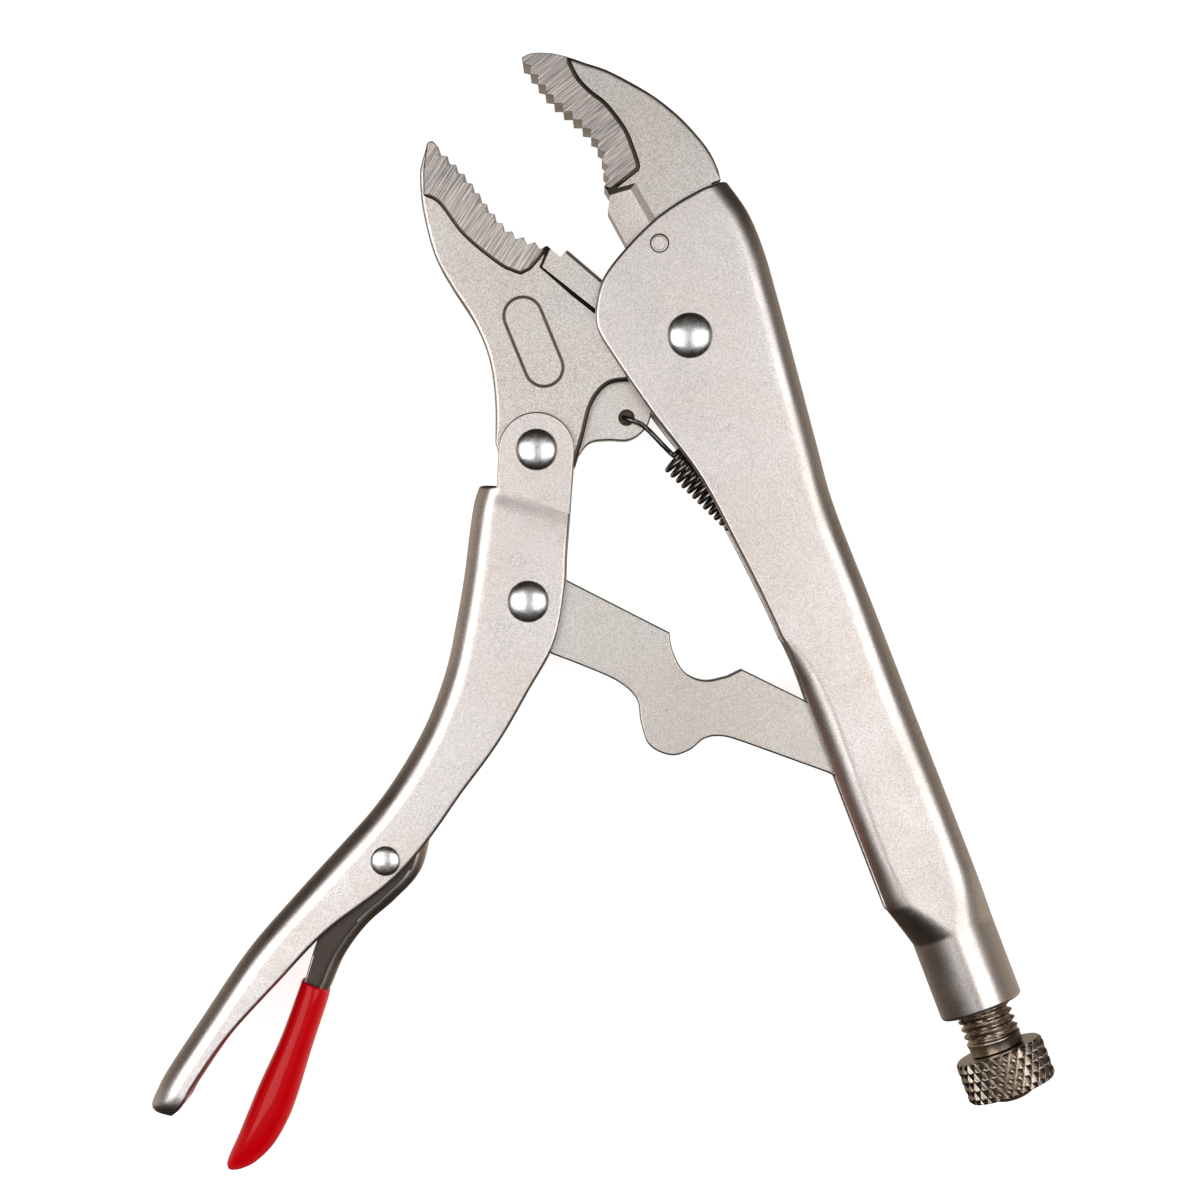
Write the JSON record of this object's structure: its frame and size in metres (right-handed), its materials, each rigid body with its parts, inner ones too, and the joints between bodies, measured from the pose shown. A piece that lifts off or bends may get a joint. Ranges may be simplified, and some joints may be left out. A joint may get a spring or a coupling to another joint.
{
  "type": "locking pliers",
  "caption": "Curved-jaw locking pliers with a wire cutter, a toggle link, an adjusting screw and a release lever, drawn with the jaws open.",
  "frame": {"origin": "middle of the lowest face of the bounding box, with the tool lying flat on its side", "axes": "+Y along the adjusting screw towards the jaws, +X towards the back of the fixed handle, +Z through the thickness"},
  "size_m": [0.1894, 0.2486, 0.0222],
  "materials": {
    "satin_nickel": "satin blasted nickel plate",
    "link_nickel": "satin nickel plate, slightly darker",
    "jaw_steel": "blasted nickel plate with ground bare steel teeth",
    "polished_rivet": "polished chrome",
    "screw_nickel": "dark nickel plate",
    "spring_steel": "oiled spring steel",
    "red_vinyl": "glossy dipped vinyl"
  },
  "bodies": {
    "fixed_half": {"fixed_handle": "satin_nickel", "fixed_jaw": "jaw_steel", "jaw_retaining_pin": "satin_nickel", "main_pivot_rivet": "polished_rivet", "return_spring": "spring_steel"},
    "jaw": {"moving_jaw": "jaw_steel"},
    "handle": {"moving_handle": "satin_nickel", "jaw_handle_rivet": "polished_rivet", "handle_link_rivet": "polished_rivet", "release_lever_rivet": "polished_rivet"},
    "link": {"toggle_link": "link_nickel"},
    "lever": {"release_lever": "satin_nickel", "release_lever_grip": "red_vinyl"},
    "screw": {"adjusting_screw": "screw_nickel"},
    "knob": {"adjusting_knob": "screw_nickel"}
  },
  "joints": [
    {"name": "jaw_pivot", "type": "hinge", "parent": "fixed_half", "child": "jaw", "pos_m": [0.07299, 0.05495, 0.0111], "axis": [0, 0, 1], "range_deg": [-21.2, 0], "deforming": ["return_spring"]},
    {"name": "handle_pivot", "type": "hinge", "parent": "jaw", "child": "handle", "pos_m": [0.03359, 0.04385, 0.0111], "axis": [0, 0, 1], "range_deg": [0, 69.2]},
    {"name": "link_pivot", "type": "hinge", "parent": "handle", "child": "link", "pos_m": [0.02028, 0.01409, 0.0111], "axis": [0, 0, 1], "range_deg": [-67.4, 0]},
    {"name": "release_lever_pivot", "type": "hinge", "parent": "handle", "child": "lever", "pos_m": [-0.02822, -0.02698, 0.0111], "axis": [0, 0, 1], "range_deg": [-7.5, 0]},
    {"name": "screw_travel", "type": "slide", "parent": "fixed_half", "child": "screw", "axis": [0, -1, 0], "range_m": [0, 0.012]},
    {"name": "knob_turn", "type": "hinge", "parent": "screw", "child": "knob", "pos_m": [0.08069, -0.11505, 0.0111], "axis": [0, 1, 0], "range_deg": [0, 2500]}
  ],
  "couplings": [
    {"joint": "handle_pivot", "follows": "jaw_pivot", "ratio": -3.2581},
    {"joint": "link_pivot", "follows": "jaw_pivot", "ratio": 3.1734},
    {"joint": "knob_turn", "follows": "screw_travel", "rad_per_m": 3590.4}
  ]
}
